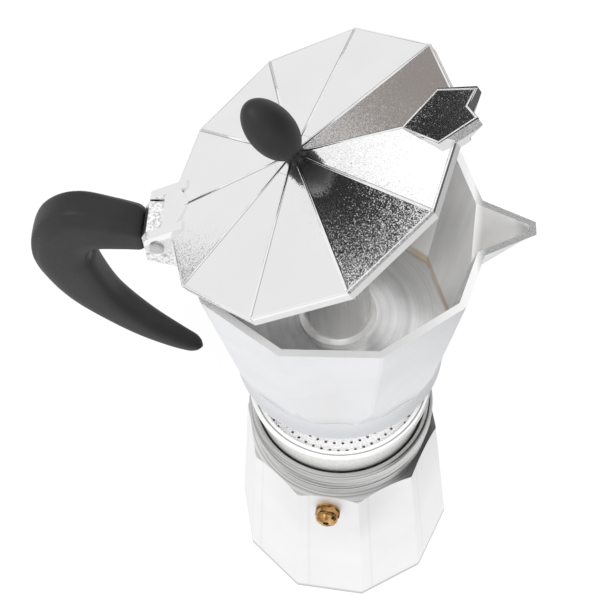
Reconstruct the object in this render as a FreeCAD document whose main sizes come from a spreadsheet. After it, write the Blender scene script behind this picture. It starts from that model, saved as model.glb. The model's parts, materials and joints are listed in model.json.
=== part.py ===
"""Stovetop moka pot, shown taken apart: boiler, funnel, upper pot, lid and handle.

Millimetres, +Z up. The origin is the centre of the boiler's flat underside, +X points
to the spout, the handle is at -X and the lid's hinge pin runs along Y. The parts stand
in the photographed pose: the upper pot is unscrewed and raised, the funnel is lifted
out of the boiler's mouth and the lid is ajar.
"""
import FreeCAD, Part
import math
import os
from types import SimpleNamespace

import Sketcher

SIDES = 10
RISE = FreeCAD.Vector(0, 1, 0)
SPIN = FreeCAD.Vector(0, 0, 1)

SIZES = {
    # boiler
    "boiler_turn": -6.3,
    "boiler_foot_radius": 48.0,
    "boiler_taper": 0.0994,
    "boiler_facet_height": 96.0,
    "boiler_edge_round": 1.6,
    "boiler_foot_chamfer": 0.8,
    "boiler_wall": 3.4,
    "boiler_floor": 3.0,
    "cone_slope": 0.9,
    "collar_root_radius": 35.8,
    "collar_height": 11.0,
    "mouth_radius": 33.6,
    # screw thread between boiler and upper pot
    "thread_pitch": 3.0,
    "thread_depth": 1.1,
    "thread_root_width": 1.7,
    "thread_crest_width": 0.7,
    "thread_turns": 2.4,
    "thread_clear": 0.35,
    "unscrew_angle": 6270.3,
    # safety valve
    "valve_height": 79.4,
    "valve_hole_radius": 3.6,
    "valve_fit": 0.05,
    "valve_hex_flats": 8.6,
    "valve_hex_depth": 2.4,
    "valve_washer_depth": 0.8,
    "valve_washer_radius": 4.9,
    "valve_neck_depth": 2.0,
    "valve_inner_depth": 2.4,
    "valve_bore_radius": 2.3,
    "valve_inlet_radius": 1.1,
    "valve_seat_depth": 1.4,
    "poppet_length": 2.6,
    "poppet_stem_radius": 0.8,
    "poppet_gap": 0.3,
    "spring_mean_radius": 1.55,
    "spring_wire": 0.5,
    "spring_turns": 5.0,
    "cap_radius": 4.5,
    "cap_roof": 1.0,
    "cap_vent_radius": 1.2,
    # funnel
    "funnel_lift": 14.2,
    "funnel_rest_gap": 0.3,
    "funnel_flange_radius": 35.5,
    "funnel_flange_depth": 1.8,
    "funnel_wall_radius": 33.2,
    "funnel_sheet": 1.0,
    "basket_depth": 14.0,
    "basket_plate_depth": 0.8,
    "basket_hole_radius": 0.6,
    "basket_hole_step": 3.2,
    "funnel_skirt": 2.6,
    "funnel_cone_depth": 16.0,
    "stem_radius": 5.2,
    "stem_foot_gap": 6.0,
    # gasket and filter plate
    "gasket_depth": 3.0,
    "gasket_inner_radius": 25.0,
    "part_gap": 0.3,
    "filter_radius": 28.6,
    "filter_depth": 0.8,
    "filter_hole_radius": 0.5,
    "filter_hole_step": 3.6,
    # upper pot
    "pot_height": 76.9,
    "pot_rim_radius": 50.1,
    "pot_foot_radius": 37.8,
    "pot_edge_round": 2.4,
    "pot_band_radius": 38.3,
    "pot_band_height": 10.6,
    "pot_band_flare": 0.26,
    "pot_wall": 2.4,
    "pot_floor_height": 22.5,
    "pot_floor_sheet": 2.0,
    "pot_chamber_radius": 20.0,
    "pot_mouth_relief": 2.0,
    "spout_root": 43.0,
    "spout_reach": 63.0,
    "spout_half_width": 12.4,
    "spout_drop": 27.0,
    "spout_tip_width": 2.4,
    "spout_tip_drop": 2.6,
    "spout_wall": 2.0,
    # column in the middle of the upper pot
    "column_foot_radius": 13.8,
    "column_foot_depth": 1.6,
    "column_base_radius": 12.1,
    "column_top_radius": 8.0,
    "column_height": 47.0,
    "column_bore_radius": 5.5,
    "column_spigot_radius": 7.4,
    "column_roof": 2.0,
    "column_slot_width": 6.0,
    "column_slot_height": 7.0,
    # hinge
    "pin_reach": 56.0,
    "pin_rise": 0.4,
    "pin_radius": 1.6,
    "pin_fit": 0.06,
    "pin_head_radius": 2.3,
    "pin_head_depth": 0.8,
    "lug_half_width": 6.0,
    "lug_depth": 12.5,
    "lug_crown": 3.0,
    "lug_back": 5.3,
    "tongue_half_width": 4.0,
    "tongue_depth": 4.5,
    "tongue_reach": 78.0,
    "ear_radius": 4.2,
    "ear_width": 3.2,
    "ear_gap": 0.4,
    # lid
    "lid_open": 28.7,
    "lid_radius": 51.2,
    "lid_skirt": 3.4,
    "lid_rise": 6.0,
    "lid_crown_radius": 7.0,
    "lid_sheet": 1.8,
    "cover_apex": 33.0,
    "cover_wing": 44.5,
    "cover_wing_half": 10.0,
    "cover_tail": 56.4,
    "cover_tail_half": 5.8,
    "cover_notch": 53.6,
    "cover_top": 2.4,
    "cover_tail_depth": 2.6,
    "tab_apex": 41.5,
    "tab_wing": 47.0,
    "tab_top": 1.4,
    # knob
    "knob_radius": 7.6,
    "knob_height": 25.4,
    "knob_insert_radius": 2.6,
    "knob_insert_depth": 9.0,
    "knob_screw_radius": 1.5,
    "knob_screw_reach": 7.0,
    "knob_screw_head_radius": 3.0,
    "knob_screw_head_depth": 1.8,
    "knob_washer_radius": 4.4,
    "knob_washer_depth": 0.8,
    # handle
    "handle_neck_front": 61.5,
    "handle_bevel": 3.2,
    "slot_fit": 0.1,
    "handle_screw_place": 70.0,
    "handle_screw_radius": 1.5,
    "handle_screw_head_radius": 2.8,
    "handle_screw_head_depth": 1.4,
    "handle_screw_sink": 1.6,
}

# handle sections: centre x, centre z below the rim, lean, thickness, width
HANDLE = (
    (61.5, 2.2, 90.0, 12.0, 13.0),
    (69.5, 0.9, 95.0, 15.8, 13.4),
    (79.8, 0.1, 104.0, 20.0, 14.4),
    (86.8, 4.2, 132.0, 20.8, 14.8),
    (90.3, 12.0, 159.0, 20.6, 14.8),
    (89.9, 21.0, 186.0, 19.6, 14.6),
    (86.2, 34.6, 198.0, 17.0, 14.0),
    (80.6, 46.4, 210.0, 13.6, 12.8),
    (70.6, 61.0, 220.0, 10.0, 11.2),
    (60.0, 72.2, 228.0, 7.4, 9.6),
    (53.2, 77.6, 233.0, 6.2, 8.4),
)
SECTION_WORDS = ("reach", "drop", "lean", "thick", "width")
for number, section in enumerate(HANDLE):
    for word, value in zip(SECTION_WORDS, section):
        SIZES[f"handle_{word}_{chr(97 + number)}"] = value


class Size:
    """A length or angle that carries its value and the expression that gives it."""

    def __init__(self, value, text=None):
        self.value = value
        self.text = repr(value) if text is None else text

    def join(self, other, value, sign, swap=False):
        left, right = (other, self) if swap else (self, other)
        return Size(value, f"({left.text} {sign} {right.text})")

    def __add__(self, other):
        other = size(other)
        return self.join(other, self.value + other.value, "+")

    def __sub__(self, other):
        other = size(other)
        return self.join(other, self.value - other.value, "-")

    def __mul__(self, other):
        other = size(other)
        return self.join(other, self.value * other.value, "*")

    def __truediv__(self, other):
        other = size(other)
        return self.join(other, self.value / other.value, "/")

    def __radd__(self, other):
        return size(other) + self

    def __rsub__(self, other):
        return size(other) - self

    def __rmul__(self, other):
        return size(other) * self

    def __neg__(self):
        return Size(-self.value, f"(-1 * {self.text})")


def size(number):
    return number if isinstance(number, Size) else Size(float(number))


def cosine(angle):
    angle = size(angle)
    return Size(math.cos(math.radians(angle.value)), f"cos({angle.text} * 1 deg)")


def sine(angle):
    angle = size(angle)
    return Size(math.sin(math.radians(angle.value)), f"sin({angle.text} * 1 deg)")


doc = FreeCAD.newDocument("moka_pot")
sheet = doc.addObject("Spreadsheet::Sheet", "sizes")
for row, (name, value) in enumerate(SIZES.items(), start=1):
    sheet.set(f"A{row}", name)
    sheet.set(f"B{row}", str(value))
    sheet.setAlias(f"B{row}", name)
doc.recompute()
s = SimpleNamespace(**{name: Size(value, f"sizes.{name}") for name, value in SIZES.items()})

APOTHEM = math.cos(math.pi / SIDES)

# heights and radii shared by more than one piece
boiler_top_radius = s.boiler_foot_radius - s.boiler_taper * s.boiler_facet_height
mouth_height = s.boiler_facet_height + s.collar_height
cone_top_radius = s.collar_root_radius + 0.24
pot_lift = s.thread_pitch * s.unscrew_angle / 360
flange_seat = mouth_height + s.funnel_rest_gap
flange_under = flange_seat + s.funnel_lift
flange_top = flange_under + s.funnel_flange_depth
gasket_seat = flange_seat + s.funnel_flange_depth + s.part_gap
pot_seat = s.boiler_facet_height - 0.9
pot_foot = pot_seat + pot_lift
gasket_under = gasket_seat + pot_lift
gasket_top = gasket_under + s.gasket_depth
filter_top = gasket_top + s.filter_depth
pot_rim = pot_foot + s.pot_height
pot_floor = pot_foot + s.pot_floor_height
socket_radius = s.collar_root_radius + s.thread_clear
thread_crest = s.collar_root_radius + s.thread_depth
groove_radius = thread_crest + s.thread_clear
pin_height = pot_rim + s.pin_rise
lid_under = s.part_gap - s.pin_rise
lid_shoulder = lid_under + s.lid_skirt
lid_crown = lid_shoulder + s.lid_rise


def body(label, turn=None):
    """A new body, turned about the vertical axis when a turn is given."""
    made = doc.addObject("PartDesign::Body", label)
    made.Label = label
    if turn is not None:
        made.Placement = FreeCAD.Placement(FreeCAD.Vector(), FreeCAD.Rotation(SPIN, turn.value))
        made.setExpression("Placement.Rotation.Angle", turn.text)
    return made


def sketch(owner, plane, shift=(0, 0, 0), axis=None, angle=0):
    """A sketch on one of the body's own planes, shifted and turned within its frame."""
    made = owner.newObject("Sketcher::SketchObject", "outline")
    made.AttachmentSupport = [(find_plane(owner, plane), "")]
    made.MapMode = "FlatFace"
    shift = [size(item) for item in shift]
    angle = size(angle)
    turn = FreeCAD.Rotation(axis or SPIN, angle.value)
    made.AttachmentOffset = FreeCAD.Placement(FreeCAD.Vector(*[item.value for item in shift]), turn)
    for letter, item in zip("xyz", shift):
        made.setExpression(f"AttachmentOffset.Base.{letter}", item.text)
    if axis is not None:
        made.setExpression("AttachmentOffset.Rotation.Angle", angle.text)
    return made


def find_plane(owner, plane):
    return next(item for item in owner.Origin.OriginFeatures if item.Role == plane)


def hold(flat, curve, spot, x, y):
    """Tie one point of a sketch to its coordinates."""
    for kind, place, axis in (("DistanceX", x, -2), ("DistanceY", y, -1)):
        if abs(place.value) < 1e-9:
            flat.addConstraint(Sketcher.Constraint("PointOnObject", curve, spot, axis))
        else:
            rule = Sketcher.Constraint(kind, -1, 1, curve, spot, place.value)
            number = flat.addConstraint(rule)
            flat.setExpression(f"Constraints[{number}]", place.text)


def polygon(flat, points):
    """A closed outline of straight lines through the given points."""
    points = [(size(x), size(y)) for x, y in points]
    spots = [FreeCAD.Vector(x.value, y.value, 0) for x, y in points]
    first = flat.GeometryCount
    count = len(points)
    for number in range(count):
        flat.addGeometry(Part.LineSegment(spots[number], spots[(number + 1) % count]), False)
    for number in range(count):
        after = first + (number + 1) % count
        flat.addConstraint(Sketcher.Constraint("Coincident", first + number, 2, after, 1))
    for number, (x, y) in enumerate(points):
        hold(flat, first + number, 1, x, y)
    return flat


def circle(flat, x, y, radius):
    x, y, radius = size(x), size(y), size(radius)
    centre = FreeCAD.Vector(x.value, y.value, 0)
    curve = flat.addGeometry(Part.Circle(centre, SPIN, radius.value), False)
    number = flat.addConstraint(Sketcher.Constraint("Radius", curve, radius.value))
    flat.setExpression(f"Constraints[{number}]", radius.text)
    hold(flat, curve, 3, x, y)
    return flat


def ring_points(radius, middle=0, sides=SIDES, start=0.0):
    """Corners of a regular polygon, the first one towards +X."""
    corners = []
    for number in range(sides):
        angle = 360.0 * number / sides + start
        x = middle + radius * round(math.cos(math.radians(angle)), 12)
        corners.append((x, radius * round(math.sin(math.radians(angle)), 12)))
    return corners


def feature(owner, kind, **settings):
    """Add one feature to the body and tie its sizes to the sheet."""
    made = owner.newObject(f"PartDesign::{kind}", kind)
    for word, value in settings.items():
        if isinstance(value, Size):
            setattr(made, word, value.value)
            made.setExpression(word, value.text)
        else:
            setattr(made, word, value)
    doc.recompute()
    owner.Tip = made
    return made


def turned(owner, points, kind="Revolution", flat=None, axis="V_Axis"):
    """Turn an outline of radius and height about the body's vertical axis."""
    flat = polygon(flat or sketch(owner, "XZ_Plane"), points)
    return feature(owner, kind, Profile=flat, ReferenceAxis=(flat, [axis]), Angle=360.0)


def frustum(owner, low, high, kind="AdditiveLoft", middle=0):
    """A ten-sided frustum between two (radius, height) pairs."""
    flats = []
    for radius, height in (low, high):
        flats.append(polygon(sketch(owner, "XY_Plane", (0, 0, height)), ring_points(radius, middle)))
    return feature(owner, kind, Profile=flats[0], Sections=[flats[1]], Ruled=True)


def flared(owner, low, high):
    """A ten-sided block between two (radius, height) pairs, its facets dead flat."""
    (low_radius, low_height), (high_radius, high_height) = low, high
    flat = polygon(sketch(owner, "XY_Plane", (0, 0, low_height)), ring_points(low_radius))
    tall = high_height - low_height
    spread = (high_radius - low_radius) * APOTHEM / tall
    lean = Size(math.degrees(math.atan(spread.value)), f"atan({spread.text})")
    return feature(owner, "Pad", Profile=flat, Length=tall, TaperAngle=lean)


def slab(owner, points, half, kind="Pad"):
    """An upright outline in X and Z, carried to both sides of Y = 0."""
    flat = polygon(sketch(owner, "XZ_Plane"), points)
    return feature(owner, kind, Profile=flat, SideType="Symmetric", Length=half * 2)


def cross_hole(owner, x, z, radius, half):
    """A round hole along Y."""
    flat = circle(sketch(owner, "XZ_Plane"), x, z, radius)
    return feature(owner, "Pocket", Profile=flat, SideType="Symmetric", Length=half * 2)


def round_edges(owner, radius, chosen, kind="Fillet", word="Radius"):
    """Round or bevel the edges of the body's last feature that pass the test."""
    last = owner.Tip
    names = [f"Edge{n}" for n, edge in enumerate(last.Shape.Edges, start=1) if chosen(edge)]
    return feature(owner, kind, Base=(last, names), **{word: radius})


def upright(edge):
    box = edge.BoundBox
    return box.ZLength > 2 * max(box.XLength, box.YLength)


def rings_of_holes(owner, radius, step, rings, height, depth):
    """Rows of small holes on circles, six more holes on each wider circle."""
    for ring in range(1, rings + 1):
        flat = circle(sketch(owner, "XY_Plane", (0, 0, height)), step * ring, 0, radius)
        hole = feature(owner, "Pocket", Profile=flat, SideType="Symmetric", Length=depth * 4)
        pattern = owner.newObject("PartDesign::PolarPattern", "PolarPattern")
        pattern.Originals = [hole]
        pattern.Axis = (flat, ["N_Axis"])
        pattern.Angle = 360.0
        pattern.Occurrences = 6 * ring
        owner.Tip = pattern
        doc.recompute()


def helix(owner, kind, points, height, pitch, flat=None):
    flat = polygon(flat or sketch(owner, "XZ_Plane"), points)
    return feature(owner, kind, Profile=flat, ReferenceAxis=(flat, ["V_Axis"]),
                   Mode="pitch-height-angle", Pitch=pitch, Height=height, Angle=0.0)


def thread_profile(inner, outer, inner_half, outer_half, height):
    return [(inner, height - inner_half), (outer, height - outer_half),
            (outer, height + outer_half), (inner, height + inner_half)]


# boiler: ten facets below, a turned cone cutting their tops, a threaded collar
boiler = body("boiler", s.boiler_turn)
flared(boiler, (s.boiler_foot_radius, size(0)), (boiler_top_radius, s.boiler_facet_height))
round_edges(boiler, s.boiler_edge_round, upright)
round_edges(boiler, s.boiler_foot_chamfer, lambda edge: edge.BoundBox.ZMax < 0.01, "Chamfer", "Size")
cone_drop = 12
cone_high = s.boiler_facet_height - 4.8
cone_low = cone_high - cone_drop
turned(boiler, [(cone_top_radius, s.boiler_facet_height), (cone_top_radius, cone_high),
                (cone_top_radius + s.cone_slope * cone_drop, cone_low),
                (s.boiler_foot_radius + 9, cone_low),
                (s.boiler_foot_radius + 9, s.boiler_facet_height)], "Groove")
turned(boiler, [(0, s.boiler_facet_height - 4), (s.collar_root_radius, s.boiler_facet_height - 4),
                (s.collar_root_radius, mouth_height - 0.6),
                (s.collar_root_radius - 0.6, mouth_height), (0, mouth_height)])
thread_low = s.boiler_facet_height + 1.7
half_root = s.thread_root_width / 2
half_crest = s.thread_crest_width / 2
helix(boiler, "AdditiveHelix",
      thread_profile(s.collar_root_radius - 0.4, thread_crest, half_root + 0.18, half_crest, thread_low),
      s.thread_pitch * s.thread_turns, s.thread_pitch)
inner_foot = s.boiler_foot_radius * APOTHEM - s.boiler_wall
inner_neck_height = s.boiler_facet_height - 8
turned(boiler, [(0, s.boiler_floor), (inner_foot - 4, s.boiler_floor),
                (inner_foot, s.boiler_floor + 4),
                (s.mouth_radius, inner_neck_height),
                (s.mouth_radius, mouth_height - 0.5), (s.mouth_radius + 0.5, mouth_height),
                (0, mouth_height)], "Groove")

# safety valve on the facet towards -Y: the valve's axis stands square to the facet
facet_lean = Size(math.degrees(math.atan(SIZES["boiler_taper"] * APOTHEM)),
                  f"atan(sizes.boiler_taper * {APOTHEM!r}) / 1 deg")
facet_reach = (s.boiler_foot_radius - s.boiler_taper * s.valve_height) * APOTHEM


def valve_outline(owner):
    """A sketch whose first axis is the valve's axis, zero on the facet, outward positive."""
    return sketch(owner, "YZ_Plane", (-facet_reach, s.valve_height, 0), SPIN, 180 - facet_lean)


def valve_face(owner, out):
    """A sketch square to the valve's axis, some way out from the facet."""
    shift = (0, s.valve_height + out * sine(facet_lean), facet_reach + out * cosine(facet_lean))
    return sketch(owner, "XZ_Plane", shift, FreeCAD.Vector(1, 0, 0), -facet_lean)


def valve_turned(owner, points, kind="Revolution"):
    return turned(owner, points, kind, valve_outline(owner), "H_Axis")


flat = circle(valve_face(boiler, size(3)), 0, 0, s.valve_hole_radius)
feature(boiler, "Pocket", Profile=flat, Length=15.0)

shank_radius = s.valve_hole_radius - s.valve_fit
shank_end = -(s.boiler_wall + s.valve_inner_depth)
hex_out = s.valve_washer_depth + s.valve_hex_depth
neck_out = hex_out + s.valve_neck_depth
seat_in = shank_end + s.valve_seat_depth
neck_radius = shank_radius - 0.3

valve_body = body("valve_body", s.boiler_turn)
valve_turned(valve_body, [(shank_end, 0), (shank_end, shank_radius), (s.valve_washer_depth, shank_radius),
                          (hex_out, shank_radius), (hex_out, neck_radius), (neck_out, neck_radius),
                          (neck_out, 0)])
hex_corner = s.valve_hex_flats / 2 / math.cos(math.pi / 6)
flat = polygon(valve_face(valve_body, s.valve_washer_depth), ring_points(hex_corner, sides=6))
feature(valve_body, "Pad", Profile=flat, Length=s.valve_hex_depth)
valve_turned(valve_body, [(shank_end, 0), (shank_end, s.valve_inlet_radius),
                          (seat_in, s.valve_inlet_radius), (seat_in, s.valve_bore_radius),
                          (neck_out, s.valve_bore_radius), (neck_out, 0)], "Groove")

valve_washer = body("valve_washer", s.boiler_turn)
valve_turned(valve_washer, [(0, s.valve_hole_radius), (0, s.valve_washer_radius),
                            (s.valve_washer_depth, s.valve_washer_radius),
                            (s.valve_washer_depth, s.valve_hole_radius)])

poppet_radius = s.valve_bore_radius - s.valve_fit
poppet_low = seat_in + s.poppet_gap
poppet_high = poppet_low + s.poppet_length
cap_inside = neck_out + 0.2
cap_out = cap_inside + s.cap_roof
stem_out = cap_inside - 0.4
valve_poppet = body("valve_poppet", s.boiler_turn)
valve_turned(valve_poppet, [(poppet_low, 0), (poppet_low, poppet_radius - 0.4),
                            (poppet_low + 0.4, poppet_radius), (poppet_high, poppet_radius),
                            (poppet_high, s.poppet_stem_radius),
                            (stem_out, s.poppet_stem_radius), (stem_out, 0)])

spring_low = poppet_high + s.spring_wire / 2
spring_span = cap_inside - poppet_high - s.spring_wire
valve_spring = body("valve_spring", s.boiler_turn)
flat = circle(valve_outline(valve_spring), spring_low, s.spring_mean_radius, s.spring_wire / 2)
feature(valve_spring, "AdditiveHelix", Profile=flat, ReferenceAxis=(flat, ["H_Axis"]),
        Mode="height-turns-angle", Height=spring_span, Turns=s.spring_turns, Angle=0.0)

valve_cap = body("valve_cap", s.boiler_turn)
valve_turned(valve_cap, [(hex_out, neck_radius), (hex_out, s.cap_radius - 0.4),
                         (hex_out + 0.4, s.cap_radius), (cap_out - 1.8, s.cap_radius),
                         (cap_out - 0.7, s.cap_radius - 0.7), (cap_out, s.cap_radius - 2.0),
                         (cap_out, s.cap_vent_radius), (cap_inside, s.cap_vent_radius),
                         (cap_inside, neck_radius)])

# funnel: flanged basket, perforated plate, cone and stem
basket_floor = flange_top - s.basket_depth
plate_under = basket_floor - s.basket_plate_depth
skirt_end = plate_under - s.funnel_skirt
wall_inner = s.funnel_wall_radius - s.funnel_sheet
funnel_basket = body("funnel_basket")
turned(funnel_basket, [(wall_inner, flange_top), (s.funnel_flange_radius - 0.5, flange_top),
                       (s.funnel_flange_radius, flange_top - 0.5),
                       (s.funnel_flange_radius, flange_under + 0.4),
                       (s.funnel_flange_radius - 0.4, flange_under),
                       (s.funnel_wall_radius, flange_under), (s.funnel_wall_radius, skirt_end),
                       (wall_inner, skirt_end)])

basket_plate = body("basket_plate")
turned(basket_plate, [(0, plate_under), (wall_inner, plate_under), (wall_inner, basket_floor),
                      (0, basket_floor)])
rings_of_holes(basket_plate, s.basket_hole_radius, s.basket_hole_step, 9, basket_floor,
               s.basket_plate_depth)

cone_under = skirt_end - s.funnel_cone_depth
stem_foot = s.boiler_floor + s.stem_foot_gap + s.funnel_lift
stem_inner = s.stem_radius - s.funnel_sheet
funnel_stem = body("funnel_stem")
turned(funnel_stem, [(wall_inner, plate_under), (wall_inner, skirt_end),
                     (s.stem_radius, cone_under), (s.stem_radius, stem_foot),
                     (stem_inner, stem_foot), (stem_inner, cone_under + 0.5),
                     (wall_inner - s.funnel_sheet, skirt_end + 0.5),
                     (wall_inner - s.funnel_sheet, plate_under)])

# gasket and filter plate in the foot of the upper pot
gasket = body("gasket")
gasket_radius = socket_radius - s.part_gap
turned(gasket, [(s.gasket_inner_radius, gasket_under), (gasket_radius - 0.4, gasket_under),
                (gasket_radius, gasket_under + 0.4), (gasket_radius, gasket_top - 0.4),
                (gasket_radius - 0.4, gasket_top), (s.gasket_inner_radius, gasket_top)])

filter_plate = body("filter_plate")
turned(filter_plate, [(0, gasket_top), (s.filter_radius, gasket_top), (s.filter_radius, filter_top),
                      (0, filter_top)])
rings_of_holes(filter_plate, s.filter_hole_radius, s.filter_hole_step, 6, filter_top, s.filter_depth)

# upper pot: ten-sided flaring body, turned foot, spout, hinge lug and tongue
collector = body("collector")
flared(collector, (s.pot_foot_radius, pot_foot), (s.pot_rim_radius, pot_rim))
round_edges(collector, s.pot_edge_round, upright)
band_top = pot_foot + s.pot_band_height
flare_rise = 16
turned(collector, [(0, pot_foot), (s.pot_band_radius, pot_foot), (s.pot_band_radius, band_top),
                   (0, band_top)])
turned(collector, [(s.pot_band_radius, pot_foot - 1), (s.pot_band_radius, band_top),
                   (s.pot_band_radius + s.pot_band_flare * flare_rise, band_top + flare_rise),
                   (s.pot_rim_radius + 9, band_top + flare_rise),
                   (s.pot_rim_radius + 9, pot_foot - 1)], "Groove")


def spout(kind, root, reach, half, drop, tip_half, tip_drop):
    """A beak between a wide triangle at the wall and a small one at the tip."""
    flats = []
    for out, side, down in ((root, half, drop), (reach, tip_half, tip_drop)):
        flat = sketch(collector, "YZ_Plane", (0, 0, out))
        flats.append(polygon(flat, [(-side, pot_rim), (0, pot_rim - down), (side, pot_rim)]))
    return feature(collector, kind, Profile=flats[0], Sections=[flats[1]], Ruled=True)


spout("AdditiveLoft", s.spout_root, s.spout_reach, s.spout_half_width, s.spout_drop,
      s.spout_tip_width, s.spout_tip_drop)

lug_front = s.pin_reach - 4.4
lug_crown = pin_height + s.lug_crown
lug_low = pot_rim - s.lug_depth
lug_end = s.pin_reach + s.lug_back
slab(collector, [(-(s.pot_rim_radius - 6), pot_rim - 0.4), (-(s.pot_rim_radius - 6), lug_low - 5),
                 (-(s.pot_rim_radius - 2), lug_low - 5), (-lug_end, lug_low),
                 (-lug_end, pin_height), (-(lug_end - 1.8), lug_crown), (-(lug_front + 1.4), lug_crown),
                 (-lug_front, pot_rim - 0.4)], s.lug_half_width)
tongue_top = pot_rim - 1
tongue_low = tongue_top - s.tongue_depth
slab(collector, [(-(lug_end - 2), tongue_low), (-(lug_end - 2), tongue_top),
                 (-s.tongue_reach, tongue_top), (-s.tongue_reach, tongue_low)], s.tongue_half_width)

slope = (s.pot_rim_radius - s.pot_foot_radius) / s.pot_height
inner_rim = s.pot_rim_radius - s.pot_wall / APOTHEM
inner_floor = inner_rim - slope * (s.pot_height - s.pot_floor_height)
frustum(collector, (inner_floor, pot_floor), (inner_rim, pot_rim), "SubtractiveLoft")
spout("SubtractiveLoft", s.spout_root - 2, s.spout_reach - s.spout_wall,
      s.spout_half_width - s.spout_wall + 0.6, s.spout_drop - s.spout_wall * 2 + 1.5,
      s.spout_tip_width / 2, s.spout_tip_drop / 2)

filter_bay = s.filter_radius + s.part_gap
socket_top = gasket_top + s.part_gap
bay_top = filter_top + s.part_gap
chamber_top = pot_floor - s.pot_floor_sheet
relief_top = pot_foot + s.pot_mouth_relief
turned(collector, [(0, pot_foot), (groove_radius, pot_foot), (groove_radius, relief_top),
                   (socket_radius, relief_top + 1.1), (socket_radius, socket_top),
                   (filter_bay, socket_top), (filter_bay, bay_top), (s.pot_chamber_radius, bay_top),
                   (s.pot_chamber_radius - 6, chamber_top), (s.column_spigot_radius, chamber_top),
                   (s.column_spigot_radius, pot_floor), (0, pot_floor)], "Groove")
turns_down = 18
thread_start = thread_low - s.thread_pitch * s.boiler_turn / 360 + s.thread_pitch * (turns_down - 1)
ridge_slant = (s.thread_root_width - s.thread_crest_width) / 2 / s.thread_depth
groove_inner = socket_radius - 0.2
groove_inner_half = half_crest + (thread_crest - groove_inner) * ridge_slant + s.thread_clear
helix(collector, "SubtractiveHelix",
      thread_profile(groove_inner, groove_radius, groove_inner_half, half_crest + s.thread_clear,
                     thread_start), s.thread_pitch * 4, s.thread_pitch)
cross_hole(collector, -s.pin_reach, pin_height, s.pin_radius, s.lug_half_width + 2)
handle_screw_hole = circle(sketch(collector, "XY_Plane", (0, 0, tongue_low)),
                           -s.handle_screw_place, 0, s.handle_screw_radius)
feature(collector, "Pocket", Profile=handle_screw_hole, Length=s.tongue_depth - 1.5, Reversed=True)

column = body("column")
column_top = pot_floor + s.column_height
spigot_under = pot_floor - s.pot_floor_sheet
turned(column, [(s.column_bore_radius, spigot_under), (s.column_spigot_radius, spigot_under),
                (s.column_spigot_radius, pot_floor), (s.column_foot_radius, pot_floor),
                (s.column_foot_radius, pot_floor + s.column_foot_depth),
                (s.column_base_radius, pot_floor + s.column_foot_depth + 1),
                (s.column_top_radius, column_top - 1.5), (s.column_top_radius - 1.5, column_top),
                (0, column_top), (0, column_top - s.column_roof),
                (s.column_bore_radius, column_top - s.column_roof)])
slot_top = column_top - s.column_roof - 0.6
slot_half = s.column_slot_width / 2
slab(column, [(-slot_half, slot_top - s.column_slot_height), (slot_half, slot_top - s.column_slot_height),
              (slot_half, slot_top), (-slot_half, slot_top)], s.column_base_radius + 4, "Pocket")

# hinge pin, headed at both ends
ear_out = s.lug_half_width + s.ear_gap + s.ear_width
hinge_pin = body("hinge_pin")
pin_end = ear_out + 0.4
head_end = pin_end + s.pin_head_depth
flat = sketch(hinge_pin, "YZ_Plane", (0, pin_height, -s.pin_reach))
turned(hinge_pin, [(-head_end, 0), (-head_end, s.pin_head_radius - 0.5), (-pin_end - 0.4, s.pin_head_radius),
                   (-pin_end, s.pin_head_radius), (-pin_end, s.pin_radius), (pin_end, s.pin_radius),
                   (pin_end, s.pin_head_radius), (pin_end + 0.4, s.pin_head_radius),
                   (head_end, s.pin_head_radius - 0.5), (head_end, 0)], flat=flat, axis="H_Axis")


def lid_body(label, reach=0, height=0):
    """A body in the lid's own frame, whose origin is the hinge pin, swung open."""
    made = doc.addObject("PartDesign::Body", label)
    made.Label = label
    turn = FreeCAD.Rotation(RISE, -s.lid_open.value)
    x = -s.pin_reach + reach * cosine(s.lid_open) - height * sine(s.lid_open)
    z = pin_height + reach * sine(s.lid_open) + height * cosine(s.lid_open)
    made.Placement = FreeCAD.Placement(FreeCAD.Vector(x.value, 0, z.value), turn)
    made.setExpression("Placement.Base.x", x.text)
    made.setExpression("Placement.Base.z", z.text)
    made.setExpression("Placement.Rotation.Angle", (-s.lid_open).text)
    return made


# lid: ten shallow facets, spout cover, hinge tab with two ears
lid = lid_body("lid")
centre = s.pin_reach
frustum(lid, (s.lid_radius, lid_under), (s.lid_radius, lid_shoulder), middle=centre)
frustum(lid, (s.lid_radius, lid_shoulder), (s.lid_crown_radius, lid_crown), middle=centre)
flat = polygon(sketch(lid, "XY_Plane", (0, 0, lid_under)),
               [(centre + s.cover_apex, 0), (centre + s.cover_wing, -s.cover_wing_half),
                (centre + s.cover_tail, -s.cover_tail_half), (centre + s.cover_notch, 0),
                (centre + s.cover_tail, s.cover_tail_half), (centre + s.cover_wing, s.cover_wing_half)])
feature(lid, "Pad", Profile=flat, Length=s.lid_skirt + s.cover_top)
cover_edge = centre + s.lid_radius + 0.4
tail_end = centre + s.cover_tail + 1
slab(lid, [(cover_edge, lid_under - 1), (tail_end, lid_under - 1),
           (tail_end, lid_shoulder + s.cover_top - s.cover_tail_depth), (cover_edge, lid_under + 1)],
     s.cover_wing_half + 2, "Pocket")
tab_level = lid_shoulder + s.tab_top
ear_in = s.lug_half_width + s.ear_gap
flat = polygon(sketch(lid, "XY_Plane", (0, 0, lid_under)),
               [(centre - s.tab_apex, 0), (centre - s.tab_wing, ear_out), (centre - s.lid_radius, ear_out),
                (centre - s.lid_radius, -ear_out), (centre - s.tab_wing, -ear_out)])
feature(lid, "Pad", Profile=flat, Length=s.lid_skirt + s.tab_top)
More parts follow.
